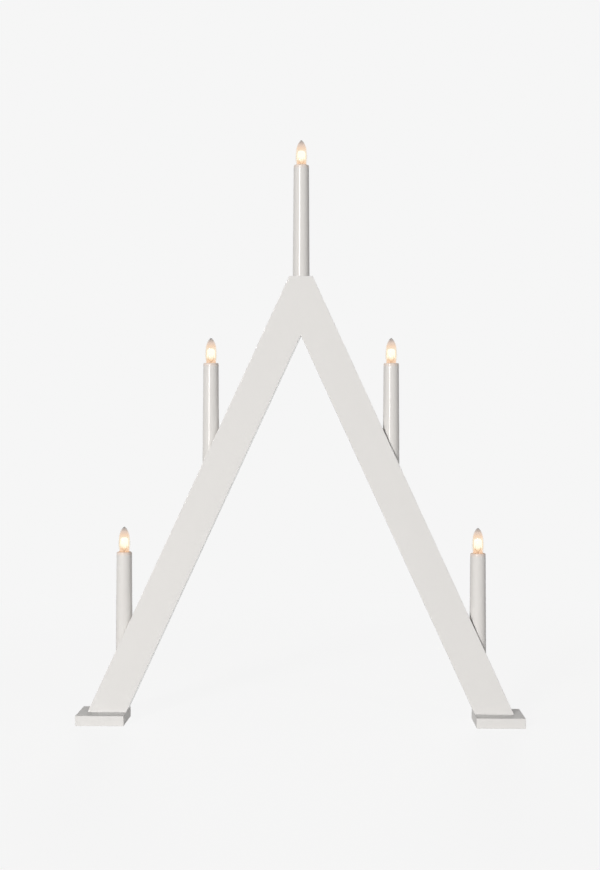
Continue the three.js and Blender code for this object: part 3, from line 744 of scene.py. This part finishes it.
class CANDLESTICK_OT_stage(PieceOperator, bpy.types.Operator):
    """Pale floor and backdrop, soft lights in front and behind, ambient light and the camera"""

    bl_idname = "candlestick.stage"
    bl_label = "Stage"

    WARM = (1, 0.985, 0.965)

    @staticmethod
    def blank_tree(owner):
        owner.use_nodes = True
        owner.node_tree.nodes.clear()
        return owner.node_tree

    @staticmethod
    def by_ray(tree, lighting, shown):
        """A shader that lights the object, and one for rays that show the backdrop.

        Such rays come straight from the camera, from a reflection or through glass.
        """
        path = add(tree, "LightPath")
        amount = path.outputs["Is Camera Ray"]
        for ray in ("Is Glossy Ray", "Is Transmission Ray"):
            step = add(tree, "Math", {"operation": "MAXIMUM"})
            tree.links.new(amount, step.inputs[0])
            tree.links.new(path.outputs[ray], step.inputs[1])
            amount = step.outputs[0]
        return mixed(tree, lighting, shown, amount)

    def light_world(self, scene, stage):
        scene.world = scene.world or bpy.data.worlds.new("studio")
        tree = self.blank_tree(scene.world)
        ambient = add(tree, "Background", Color=(*self.WARM, 1), Strength=stage.ambient)
        backdrop = add(tree, "Background", Color=(1, 1, 1, 1), Strength=stage.backdrop)
        add(tree, "OutputWorld", Surface=self.by_ray(tree, ambient, backdrop).outputs[0])

    def lay_floor(self, stage):
        """A floor just under the feet that looks like the backdrop and is clear from below."""
        deselect()
        bpy.ops.mesh.primitive_circle_add(
            vertices=128, radius=3.0, fill_type="NGON", location=(0, 0, -0.1 * MM))
        floor = bpy.context.object
        floor.name = "floor"
        finish = bpy.data.materials.new("pale_floor")
        tree = self.blank_tree(finish)
        share_lit = 0.08
        near = mixed(tree, add(tree, "BsdfDiffuse", Color=(share_lit, share_lit, share_lit, 1)),
                     add(tree, "Emission", Strength=stage.backdrop - share_lit * 0.5))
        far = add(tree, "Emission", Strength=stage.backdrop)
        reach = add(tree, "VectorMath", {"operation": "LENGTH"},
                    Vector=add(tree, "TexCoord").outputs["Object"])
        shown = mixed(tree, near, far, ranged(tree, reach.outputs["Value"], 0.5, 1.3))
        bounce = mixed(tree, add(tree, "BsdfDiffuse", Color=(*shade(self.WARM, 0.6), 1)),
                       add(tree, "Emission", Color=(*self.WARM, 1), Strength=0.11))
        surface = mixed(tree, self.by_ray(tree, bounce, shown), add(tree, "BsdfTransparent"),
                        add(tree, "NewGeometry").outputs["Backfacing"])
        add(tree, "OutputMaterial", Surface=surface.outputs[0])
        floor.data.materials.append(finish)
        floor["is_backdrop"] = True

    @staticmethod
    def hang_lights(stage):
        """Soft lights 6 m away, turned from the front. Only the key light dips and is reflected."""
        for name, angle, height, dip, size, watts in (
                ("key_light", -stage.turn, 1.2, 0.6, (0.9, 2.4), stage.key),
                ("side_light", 0.7, 2.2, 0, (1.2, 2.0), stage.side),
                ("back_light", math.pi, 2.2, 0, (1.2, 2.0), stage.back)):
            deselect()
            away = Vector((math.sin(angle), -math.cos(angle), 0))
            aim = -away * math.cos(dip) - Vector((0, 0, math.sin(dip)))
            bpy.ops.object.light_add(type="AREA", location=away * 6.0 + Vector((0, 0, height)),
                                     rotation=aim.to_track_quat("-Z", "Y").to_euler())
            light = bpy.context.object
            light.name = light.data.name = name
            light.data.shape = "RECTANGLE"
            light.data.size, light.data.size_y = size
            light.data.energy = watts
            light.data.color = (1, 0.985, 0.96)
            light.visible_camera = False
            light.visible_glossy = light.visible_transmission = name == "key_light"

    @staticmethod
    def set_camera(scene, stage):
        deselect()
        bpy.ops.object.camera_add(location=(0.0358, -1.6454, 0.346))
        camera = bpy.context.object
        camera.name = camera.data.name = "camera"
        yaw, pitch, roll = (math.radians(angle) for angle in (1.276, -0.108, 0.108))
        camera.rotation_euler = (
            Matrix.Rotation(yaw, 3, "Z") @ Matrix.Rotation(math.pi / 2 + pitch, 3, "X")
            @ Matrix.Rotation(roll, 3, "Z")).to_euler()
        camera.data.sensor_width = 36
        camera.data.lens = stage.lens
        camera.data.clip_start, camera.data.clip_end = 0.05, 20
        scene.camera = camera

    def build(self, scene):
        stage = scene.candlestick_stage
        self.light_world(scene, stage)
        self.lay_floor(stage)
        self.hang_lights(stage)
        self.set_camera(scene, stage)
        scene.view_settings.view_transform = "Standard"


class CANDLESTICK_OT_boards(PieceOperator, bpy.types.Operator):
    """Two leaning boards with an upright mitre, bored and grooved for the candles and wires"""

    bl_idname = "candlestick.boards"
    bl_label = "Boards"

    @staticmethod
    def bores(candle):
        """A flat-bottomed bore for the tube, and a hole below it down to the groove."""
        x, y, rim = RIMS[candle]
        seat = rim - TUBE_LENGTH - GAP
        return [drill(x, y, seat, rim, TUBE_FOOT + PLAY, 96),
                drill(x, y, lean_height(x, GROOVE) - WIRE, seat + PAST, WIRE_HOLE / 2)]

    @staticmethod
    def groove(side):
        """The wires' groove, with the round end that a router leaves."""
        half, past = GROOVE_WIDTH / 2, PAST / SLOPE
        end = GLAND_Z - GLAND_BARREL + half if side > 0 else (
            lean_height(RIMS["right_outer"].x, GROOVE) - half)
        end_x = lean_x(side, end, GROOVE)
        across, up = side * half * math.cos(LEAN), half * math.sin(LEAN)
        outline = [(-side * PAST, lean_height(0, GROOVE + half) + past),
                   (end_x - across, end - up), (end_x + across, end + up),
                   (-side * PAST, lean_height(0, GROOVE - half) + past)]
        return [slab("groove", outline, GROOVE_FLOOR, BACK + PAST),
                drill(end_x, end, GROOVE_FLOOR, BACK + PAST, half, 48, level=True)]

    @staticmethod
    def staple_slots(side):
        """A slot for each leg of a staple, a gap wider all round."""
        across, along = leg_axes(side)
        thick, wide = STAPLE_THICK / 2 + GAP, STAPLE_WIDE / 2 + GAP
        slots = []
        for _, place in staple_places(side):
            for end in (-1, 1):
                middle = place + across * end * STAPLE_HALF
                corners = [middle + across * a * thick + along * b * wide
                           for a, b in ((-1, -1), (1, -1), (1, 1), (-1, 1))]
                slots.append(slab("slot", [(corner.x, corner.z) for corner in corners],
                                  BACK - STAPLE_LEG - GAP, BACK + PAST))
        return slots

    @staticmethod
    def tongue_slot():
        """A slot with the tongue's chamfered corners, a gap wider all round."""
        low, high = corners_of("mitre_tongue")
        x, foot, top, chamfer = high.x + GAP, low.z - GAP, high.z + GAP, 6
        outline = [(-x + chamfer, foot), (x - chamfer, foot), (x, foot + chamfer),
                   (x, top - chamfer), (x - chamfer, top), (-x + chamfer, top),
                   (-x, top - chamfer), (-x, foot + chamfer)]
        return slab("slot", outline, low.y - GAP, high.y + GAP)

    def build(self, scene):
        wood = scene.candlestick_wood
        half, crown, low = BOARD_WIDTH / 2, CROWN_WIDTH / 2, FOOT_TOP - BOARD_WIDTH
        outer, inner = lean_x(1, low, -half), lean_x(1, low, half)
        pair = slab("boards", [
            (-outer, low), (-inner, low), (0, INNER_APEX), (inner, low), (outer, low),
            (crown, CROWN), (-crown, CROWN)], FRONT, BACK)
        finish_with(pair, "BEVEL", width=wood.board_edge, segments=4, limit_method="ANGLE",
                    angle_limit=math.radians(20))
        for word, side in SIDES.items():
            board = copied(pair, f"board_{word}", (0, 0, 0))
            reach, top = side * LEG_HIGH.x * 1.2, CROWN + PAST
            outline = [(0, FOOT_TOP), (reach, FOOT_TOP), (reach, top), (0, top)]
            half_space = slab("half_space", outline, FRONT - PAST, BACK + PAST)
            cut(board, [half_space], operation="INTERSECT")
            board.data.materials.clear()
            board.data.materials.append(satin_paint(wood, side))
            cutters = [*self.groove(side), self.tongue_slot(), *self.staple_slots(side)]
            for candle in CANDLES:
                if RIMS[candle].x * side >= 0:
                    cutters += self.bores(candle)
            for x, y in SCREWS.values():
                cutters.append(drill(side * x, y, FOOT_TOP - PAST,
                                     SCREW_RECESS + SCREW_LENGTH + GAP, SCREW_SHANK + PLAY, 32))
            if side > 0:
                cutters.append(drill(GLAND_X, GLAND_Z, BACK - GLAND_DEPTH - PLAY, BACK + PAST,
                                     GLAND_BARREL + PLAY, 48, level=True))
            cut(board, cutters, bare_wood(wood, side))
            soften(board, 30, flat_faces=True)
            settle(board, "stand", f"leg_{word}")
        bpy.data.objects.remove(pair)


class CANDLESTICK_OT_tongue(PieceOperator, bpy.types.Operator):
    """Plywood tongue that keys the mitre, kept as the frame has it"""

    bl_idname = "candlestick.tongue"
    bl_label = "Mitre tongue"

    def build(self, scene):
        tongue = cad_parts["mitre_tongue"]
        tongue.data.materials.clear()
        tongue.data.materials.append(bare_wood(scene.candlestick_wood))


class CANDLESTICK_OT_feet(PieceOperator, bpy.types.Operator):
    """Foot plates with eased edges and countersunk screw holes"""

    bl_idname = "candlestick.feet"
    bl_label = "Feet"

    def build(self, scene):
        wood = scene.candlestick_wood
        wide, slim = SCREW_HEAD + PLAY, SCREW_SHANK + PLAY
        for word, side in SIDES.items():
            low, high = corners_of(f"foot_{word}")
            plate = prism(f"foot_plate_{word}", [
                (low.x, low.y, 0), (high.x, low.y, 0), (high.x, high.y, 0), (low.x, high.y, 0)],
                (0, 0, FOOT_TOP))
            finish_with(plate, "BEVEL", width=wood.foot_edge, segments=4, limit_method="ANGLE")
            plate.data.materials.append(satin_paint(wood))
            holes = []
            for x, y in SCREWS.values():
                hole = turn("hole", [
                    (0, -PAST), (wide, -PAST), (wide, SCREW_RECESS), (slim, SCREW_RECESS + 2),
                    (slim, FOOT_TOP + PAST), (0, FOOT_TOP + PAST)], 48)
                holes.append(moved(hole, (side * x, y, 0)))
            cut(plate, holes, bare_wood(wood))
            soften(plate, 30, flat_faces=True)
            settle(plate, "stand", f"foot_{word}")


class CANDLESTICK_OT_foot_screws(PieceOperator, bpy.types.Operator):
    """Countersunk screws with a cross recess, driven up through the feet"""

    bl_idname = "candlestick.foot_screws"
    bl_label = "Foot screws"

    def build(self, scene):
        edge, neck, shank_end, depth, pitch = 0.2, 2.2, 25, 0.5, 1.8
        screw = turn("screw", [
            (0, 0), (SCREW_HEAD - edge, 0), (SCREW_HEAD, edge),
            *rings(SCREW_SHANK, neck, shank_end, 114), (1.2, 27.4), (0, SCREW_LENGTH)], 32)
        roll_thread(screw, 8, shank_end + 0.6, depth * MM, pitch)
        screw.data.materials.append(
            metal("screw_steel", scene.candlestick_wiring.steel, 0.24, 0.42, (3, 3, 0.3)))
        half, reach = 0.55, 2.2
        arm, cross = [(half, half), (half, reach), (-half, reach)], []
        for _ in range(4):
            cross += arm
            arm = [(-y, x) for x, y in arm]
        cut(screw, [prism("recess", [(x, y, -0.2) for x, y in cross], (0, 0, 2.4), 0.55)])
        soften(screw, 40)
        for word, side in SIDES.items():
            for place, (x, y) in SCREWS.items():
                twin = copied(screw, f"screw_{word}_{place}", (side * x, y, SCREW_RECESS))
                settle(twin, "stand", f"foot_screw_{word}_{place}")
        bpy.data.objects.remove(screw)


class CANDLESTICK_OT_tubes(PieceOperator, bpy.types.Operator):
    """Hollow tapered candle tubes with a rounded rim and a ledge inside"""

    bl_idname = "candlestick.tubes"
    bl_label = "Candle tubes"

    def build(self, scene):
        candle = scene.candlestick_candle
        drop, outer_lip, inner_lip, chamfer = candle.rim / MM, 0.95, 0.25, 0.25

        def wall(height):
            return TUBE_TOP - (TUBE_FOOT - TUBE_TOP) * height / TUBE_LENGTH

        tube = turn("tube", [
            (TUBE_FOOT - chamfer, -TUBE_LENGTH), (TUBE_FOOT, chamfer - TUBE_LENGTH),
            *[(wall(h), h) for h in (-110, -75, -40, -15, -6)],
            *arc(wall(-drop) - outer_lip, -drop, outer_lip, drop, 0, 90, 10),
            *arc(TUBE_TOP - TUBE_WALL + inner_lip, -0.4, inner_lip, 0.4, 90, 180, 4),
            (wall(LEDGE_TOP) - TUBE_WALL, LEDGE_TOP), (LEDGE_BORE, LEDGE_TOP),
            (LEDGE_BORE, LEDGE_FOOT), (wall(LEDGE_FOOT) - TUBE_WALL, LEDGE_FOOT),
            (TUBE_FOOT - TUBE_WALL, -TUBE_LENGTH)], candle.sides, closed=True)
        # Marks the top of the tube, where the painted glow of the bulb is laid on.
        mark_rise(tube, -5.5, 0.5)
        dress(tube, tube_plastic(candle), 32)
        settle_candles(tube, "tube", "stand", "candle_tube")


class CANDLESTICK_OT_holders(PieceOperator, bpy.types.Operator):
    """Lamp holders: plugs with a socket for the shell and two wire holes from below"""

    bl_idname = "candlestick.holders"
    bl_label = "Lamp holders"

    def build(self, scene):
        edge, lip = 0.6, 0.3
        holder = turn("holder", [
            (0, HOLDER_FOOT), (HOLDER_RADIUS - edge, HOLDER_FOOT),
            (HOLDER_RADIUS, HOLDER_FOOT + edge),
            *arc(HOLDER_RADIUS - edge, HOLDER_TOP - edge, edge, edge, 0, 90, 4),
            (SOCKET_RADIUS + lip, HOLDER_TOP), (SOCKET_RADIUS, HOLDER_TOP - lip),
            (SOCKET_RADIUS, SOCKET_FLOOR), (0, SOCKET_FLOOR)], 64)
        holder.data.materials.append(holder_plastic(scene.candlestick_candle))
        cut(holder, [drill(end * LEAD_SPACING / 2, 0, HOLDER_FOOT - PAST, HOLDER_FOOT + 4.3,
                           WIRE / 2 + PLAY, 24) for end in (-1, 1)])
        soften(holder, 35)
        settle_candles(holder, "holder", "stand", "lamp_holder")


class CANDLESTICK_OT_shells(PieceOperator, bpy.types.Operator):
    """Brass screw shells with a rolled thread, inside the holders"""

    bl_idname = "candlestick.shells"
    bl_label = "Screw shells"

    def build(self, scene):
        middle, foot, bend = SHELL_RADIUS + METAL / 2, SHELL_FOOT + METAL / 2, 0.3
        shell = turn("shell", [
            (3.6, foot), (middle - bend, foot), *rings(middle, foot + bend, SHELL_TOP, 72)], 64)
        roll_thread(shell, foot + 0.8, SHELL_TOP - 0.3, 0.24 * MM)
        finish_with(shell, "SOLIDIFY", thickness=METAL * MM, offset=0)
        dress(shell, brass(scene.candlestick_candle), 60)
        settle_candles(shell, "shell", "stand", "screw_shell")


class CANDLESTICK_OT_contacts(PieceOperator, bpy.types.Operator):
    """Springy contact leaves, folded back under the bulbs' tips"""

    bl_idname = "candlestick.contacts"
    bl_label = "Contact leaves"

    def build(self, scene):
        thick, wide, reach = 0.5, 3.6, 2.45
        low, high = SOCKET_FLOOR + GAP + thick / 2, TIP_FOOT - GAP - thick / 2
        fold = (high - low) / 2
        bend = arc(reach - fold, low + fold, fold, fold, -90, 90, 10)
        line = [(x, 0, z) for x, z in ((-2.7, low), *bend, (-1.1, high))]
        leaf = strip("leaf", line, (0, wide, 0), thick, scene.candlestick_wiring.strip_edge)
        dress(leaf, metal("spring_bronze", (0.63, 0.41, 0.2), 0.22, 0.4, (3, 0.3, 3)), 40)
        settle_candles(leaf, "leaf", "stand", "contact_leaf")


class CANDLESTICK_OT_glasses(PieceOperator, bpy.types.Operator):
    """Thin glass bulbs that swell from the neck and run up to a point"""

    bl_idname = "candlestick.glasses"
    bl_label = "Bulb glasses"

    def build(self, scene):
        shoulder = CAP_TOP - 0.3
        outer = [(NECK, NECK_FOOT), (NECK, -8.0),
                 *interpolate_bezier((NECK, shoulder), (NECK + 1.5, shoulder + 2.2),
                                     (BELLY, BELLY_HEIGHT - 6.3), (BELLY, BELLY_HEIGHT), 19),
                 *interpolate_bezier((BELLY, BELLY_HEIGHT), (BELLY, BELLY_HEIGHT + 12.5),
                                     (3.8, BULB_REACH - 1.8), (0, BULB_REACH), 25)[1:]]
        inner = inset(outer, GLASS_WALL)
        inner[-1] = (0, BULB_REACH - 2 * GLASS_WALL)
        glass = turn("glass", [*outer[::-1], *inner], 64)
        # Marks the height up the glass, for the painted band of glow and the painted shade at the
        # point.
        mark_rise(glass, CAP_TOP, BULB_REACH)
        dress(glass, bulb_glass(scene.candlestick_bulb), 50)
        settle_candles(glass, "glass", "bulb_{}", "bulb_glass")


class CANDLESTICK_OT_caps(PieceOperator, bpy.types.Operator):
    """Brass screw caps with a rolled thread and a plain skirt"""

    bl_idname = "candlestick.caps"
    bl_label = "Bulb caps"

    def build(self, scene):
        candle = scene.candlestick_candle
        low, bend = CAP_FOOT + 1.2, 1.2
        cap = turn("cap", [
            (2.6, CAP_FOOT), (CAP_RADIUS - bend, CAP_FOOT),
            *rings(CAP_RADIUS, low, CAP_TOP - 0.5, 48),
            (CAP_RADIUS - 0.08, CAP_TOP - 0.25), (CAP_RADIUS, CAP_TOP)], 64)
        roll_thread(cap, low, CAP_TOP - 1.4, candle.thread)
        finish_with(cap, "SOLIDIFY", thickness=METAL * MM, offset=-1)
        dress(cap, brass(candle), 60)
        settle_candles(cap, "cap", "bulb_{}", "bulb_cap")


class CANDLESTICK_OT_end_contacts(PieceOperator, bpy.types.Operator):
    """Bulb tips: a drop of solder on a black glass button"""

    bl_idname = "candlestick.end_contacts"
    bl_label = "End contacts"

    def build(self, scene):
        drop, button, top = TIP_FOOT + 0.6, TIP_FOOT + 1.2, CAP_FOOT + 2 * METAL
        contact = turn("contact", [
            *arc(0, drop, 1.2, 0.6, -90, 0, 6), (1.28, drop),
            *arc(1.5, button, 0.8, 0.6, -90, 0, 5), (2.3, top), (0, top)], 40)
        contact.data.materials.append(button_glass())
        contact.data.materials.append(
            metal("solder", (0.55, 0.55, 0.56), 0.3, 0.5, (0.6,) * 3))
        for face in contact.data.polygons:
            if face.center.z / MM < drop:
                face.material_index = 1
        soften(contact, 50)
        settle_candles(contact, "end_contact", "bulb_{}_end", "bulb_tip")


class CANDLESTICK_OT_filaments(PieceOperator, bpy.types.Operator):
    """Coiled filaments on two lead wires and a glass stem"""

    bl_idname = "candlestick.filaments"
    bl_label = "Filaments"

    @staticmethod
    def coil(turns=16, steps=10, radius=0.32):
        """A fine coil along the arch between the two leads."""
        points = []
        for i in range(turns * steps + 1):
            t = i / (turns * steps)
            arch = Vector((LEAD_HALF * (2 * t - 1), 0,
                           FILAMENT_HEIGHT + 4 * FILAMENT_RISE * t * (1 - t)))
            slope = 4 * FILAMENT_RISE * (1 - 2 * t) / (2 * LEAD_HALF)
            up, aside = Vector((-slope, 0, 1)).normalized(), Vector((0, 1, 0))
            angle = math.tau * i / steps
            points.append(arch + (up * math.cos(angle) + aside * math.sin(angle)) * radius)
        return points

    def build(self, scene):
        foot, flare, neck = NECK_FOOT + 0.3, 2.85, 1.2
        stem = turn("stem", [
            (0, foot), (flare - 0.15, foot), (flare, foot + 0.2),
            *interpolate_bezier((flare, foot + 0.3), (1.7, foot + 1.8), (neck, foot + 2.4),
                                (neck, foot + 4.5), 9),
            (neck, STEM_TOP - 1.4), *arc(0, STEM_TOP - neck, neck, neck, 0, 90, 6)], 32)
        stem.data.materials.append(stem_glass())
        steel = metal("lead_wire", (0.3, 0.19, 0.13), 0.3, 0.45, (0.4, 0.4, 2))
        leads = []
        for end in (-1, 1):
            near, far = end * 0.6, end * LEAD_HALF
            lead = rod("lead", rounded([
                (near, 0, STEM_TOP - 2.4), (near, 0, STEM_TOP - 0.6), (far, 0, STEM_TOP + 1.6),
                (far, 0, FILAMENT_HEIGHT)], 1.5), 0.7, 12)
            lead.data.materials.append(steel)
            leads.append(lead)
        coil = rod("coil", self.coil(), 0.16, 8)
        coil.data.materials.append(glowing_wire(scene.candlestick_bulb))
        mount = joined("mount", stem, *leads, coil)
        soften(mount, 45)
        settle_candles(mount, "filament_mount", "bulb_{}", "filament")


class CANDLESTICK_OT_glows(PieceOperator, bpy.types.Operator):
    """Glare, halo and embers of the lit filaments, as veils of light inside the glass"""

    bl_idname = "candlestick.glows"
    bl_label = "Glow"

    def build(self, scene):
        bulb = scene.candlestick_bulb
        veils = []
        for name, tint, strength, radius, low, high, bend, foot, head, start, end in (
                ("glare", bulb.core, 1.4, 4.7, 4.6, 17.2, 3.4, 0.3, 0.95, 0.0, 0.55),
                ("halo", bulb.halo, 1.1, 6.0, 2.2, 22.0, 5.5, 0.3, 0.0, 0.5, 1.0),
                ("ember", bulb.ember, 0.97, 5.5, -2.0, 7.0, 2.5, 0.55, 0.1, 0.45, 1.0)):
            veil = turn(name, [
                (0, low), *arc(radius - bend, low + bend, bend, bend, -90, 0, 8),
                *arc(radius - bend, high - bend, bend, bend, 0, 90, 8), (0, high)], 40)
            mark_rise(veil, low, high)
            veil.data.materials.append(
                glow(f"bulb_{name}", tint, strength * bulb.brightness, foot, head, start, end))
            veils.append(veil)
        lit = joined("glow", *veils)
        soften(lit, 60)
        settle_candles(lit, "glow", "bulb_{}")


class CANDLESTICK_OT_wires(PieceOperator, bpy.types.Operator):
    """Series wiring: a feed, a link between each two candles, and a return to the gland"""

    bl_idname = "candlestick.wires"
    bl_label = "Wires"

    @staticmethod
    def lead(candle, end, mouth):
        """From a holder's wire hole down to a height."""
        x, y, rim = RIMS[candle]
        x += end * LEAD_SPACING / 2
        return [(x, y, rim + HOLDER_FOOT + 4), (x, y, mouth)]

    def drop(self, candle, end, side):
        """Into the link lane: out and down the leg, or turned back up the leg."""
        offset = GROOVE - LANE_SPACING / 2
        middle = RIMS[candle].x
        x = middle + end * LEAD_SPACING / 2
        if end == side or candle == "top":
            far = x + end * WIRE
            return [*self.lead(candle, end, lean_height(x, offset) + WIRE_FALL),
                    (far, LINK_LANE, lean_height(far, offset))]
        turn_z = lean_height(middle, GROOVE) + WIRE
        near = x + end * 2 * WIRE
        return [*self.lead(candle, end, turn_z), (x, LINK_LANE, turn_z),
                (near, LINK_LANE, lean_height(near, offset))]

    @staticmethod
    def at_gland(sign, depth):
        """Straight in through the gland, to a depth."""
        aside = sign * LANE_SPACING / 2
        x, z = GLAND_X + aside * math.cos(LEAN), GLAND_Z + aside * math.sin(LEAN)
        return [(x, BACK - GLAND_DEPTH / 2, z), (x, depth, z)]

    def routes(self):
        """Each wire's node and the corners of its route."""
        right, left = RIMS["right_outer"].x, RIMS["left_outer"].x
        feed_x, return_x = right + LEAD_SPACING / 2, left - LEAD_SPACING / 2
        feed_turn, return_turn = lean_height(right, GROOVE), lean_height(left, GROOVE)
        yield "wire_feed", [
            *self.at_gland(1, LINK_LANE), (feed_x, LINK_LANE, feed_turn),
            *self.lead("right_outer", 1, feed_turn + 2 * WIRE)[::-1]]
        for near, far in zip(CANDLES, CANDLES[1:]):
            side = 1 if RIMS[near].x + RIMS[far].x > 0 else -1
            yield f"wire_{near}_to_{far}", [
                *self.drop(near, 1, side), *self.drop(far, -1, side)[::-1]]
        offset = GROOVE + LANE_SPACING / 2
        yield "wire_return", [
            *self.lead("left_outer", -1, return_turn), (return_x, RETURN_LANE, return_turn),
            *[(x, RETURN_LANE, lean_height(x, offset))
              for x in (left + LEAD_SPACING, 0, GLAND_X - 3 * WIRE)],
            *self.at_gland(-1, RETURN_DIVE)[::-1]]

    def build(self, scene):
        sleeve = wire_sleeve(scene.candlestick_wiring)
        for node, corners in self.routes():
            wire = rod(f"sleeved_{node}", rounded(corners, WIRE), WIRE, 20)
            dress(wire, sleeve, 50)
            settle(wire, "stand", node)


class CANDLESTICK_OT_staples(PieceOperator, bpy.types.Operator):
    """Wire staples across the groove"""

    bl_idname = "candlestick.staples"
    bl_label = "Staples"

    def build(self, scene):
        settings = scene.candlestick_wiring
        steel = metal("staple_steel", settings.steel, 0.24, 0.4, (0.3, 3, 3))
        half, leg, bridge = STAPLE_HALF, -STAPLE_LEG, GAP + STAPLE_THICK / 2
        for word, side in SIDES.items():
            across, along = leg_axes(side)
            for level, place in staple_places(side):
                line = [place + across * a + Vector((0, b, 0)) for a, b in (
                    (-half, leg), (-half, bridge), (half, bridge), (half, leg))]
                piece = strip(f"groove_staple_{word}_{level}", rounded(line, 1.2, 5),
                              along * STAPLE_WIDE, STAPLE_THICK, settings.strip_edge)
                dress(piece, steel, 40)
                settle(piece, "stand", f"staple_{word}_{level}")


class CANDLESTICK_OT_gland(PieceOperator, bpy.types.Operator):
    """Cord gland at the foot of the groove, where the wires leave the leg"""

    bl_idname = "candlestick.gland"
    bl_label = "Cord gland"

    def build(self, scene):
        seat, rim, outer, inner = GAP, GAP + 1.8, 0.9, 0.7
        gland = turn("gland", [
            (GLAND_BORE, -GLAND_DEPTH), (GLAND_BARREL - 0.3, -GLAND_DEPTH),
            (GLAND_BARREL, 0.3 - GLAND_DEPTH), (GLAND_BARREL, seat), (GLAND_FLANGE, seat),
            *arc(GLAND_FLANGE - outer, seat + outer, outer, outer, 0, 90, 6),
            *arc(GLAND_BORE + inner, rim - inner, inner, inner, 90, 180, 5)],
            48, closed=True, level=True)
        moved(gland, (GLAND_X, BACK, GLAND_Z))
        dress(gland, holder_plastic(scene.candlestick_candle), 40)
        settle(gland, "stand", "cord_gland")


OPERATORS = PieceOperator.__subclasses__()
SETTINGS = {
    "candlestick_wood": WoodSettings,
    "candlestick_candle": CandleSettings,
    "candlestick_bulb": BulbSettings,
    "candlestick_wiring": WiringSettings,
    "candlestick_stage": StageSettings,
}


class CANDLESTICK_PT_pieces(bpy.types.Panel):
    """Settings and pieces of the candlestick"""

    bl_idname = "CANDLESTICK_PT_pieces"
    bl_label = "Advent Candlestick"
    bl_space_type = "VIEW_3D"
    bl_region_type = "UI"
    bl_category = "Candlestick"

    def draw(self, context):
        for word, group in SETTINGS.items():
            box = self.layout.box()
            box.label(text=group.__doc__)
            for name in group.__annotations__:
                box.prop(getattr(context.scene, word), name)
        column = self.layout.column()
        for operator in OPERATORS:
            column.operator(operator.bl_idname)


def register():
    for group in (*SETTINGS.values(), *OPERATORS, CANDLESTICK_PT_pieces):
        bpy.utils.register_class(group)
    for word, group in SETTINGS.items():
        setattr(bpy.types.Scene, word, PointerProperty(type=group))


def unregister():
    for word in SETTINGS:
        delattr(bpy.types.Scene, word)
    for group in (CANDLESTICK_PT_pieces, *reversed(OPERATORS), *SETTINGS.values()):
        bpy.utils.unregister_class(group)


def main():
    """Registers the add-on and builds every piece in order. Both boxes are gathered, not kept."""
    register()
    for operator in OPERATORS:
        getattr(bpy.ops.candlestick, operator.bl_idname.split(".")[1])()
    boxes = {"cad": cad_box, "visual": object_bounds()}
    {word: [list(corner) for corner in box] for word, box in boxes.items()}


if __name__ == "__main__":
    main()
